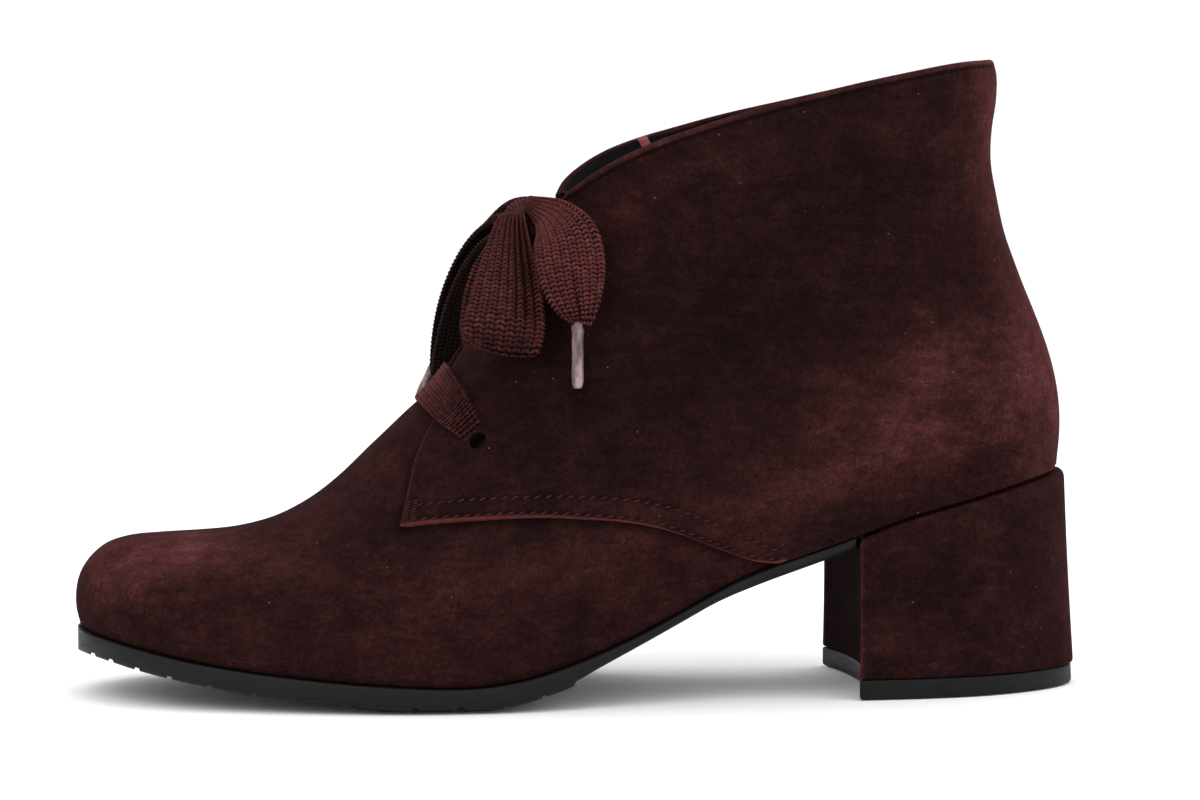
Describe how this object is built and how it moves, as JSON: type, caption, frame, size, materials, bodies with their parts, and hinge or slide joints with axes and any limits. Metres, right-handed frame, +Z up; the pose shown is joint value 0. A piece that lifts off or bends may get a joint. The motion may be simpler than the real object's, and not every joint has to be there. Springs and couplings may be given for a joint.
{
  "type": "ankle boot",
  "caption": "Left lace-up ankle boot in burgundy suede on a covered block heel, with a wide flat lace tied in a bow and a thin black rubber sole.",
  "frame": {"origin": "on the ground under the middle of the boot", "axes": "+X from toe to heel, +Y to the medial (inner) side, +Z up"},
  "size_m": [0.2466, 0.0827, 0.1546],
  "materials": {
    "suede": "napped suede",
    "lining": "matt",
    "rubber": "satin",
    "lace": "braided, matt",
    "lace_tip": "translucent, glossy"
  },
  "bodies": {
    "root": {"upper": "suede", "tongue": "suede", "heel_block": "suede", "insole": "lining", "outsole": "rubber", "heel_top_piece": "rubber", "lace_lower_bar": "lace", "lace_upper_bar": "lace", "lace_knot": "lace", "lace_loop_lateral": "lace", "lace_loop_medial": "lace", "lace_end_lateral": "lace", "lace_end_medial": "lace", "lace_tip_lateral": "lace_tip", "lace_tip_medial": "lace_tip"}
  },
  "joints": []
}
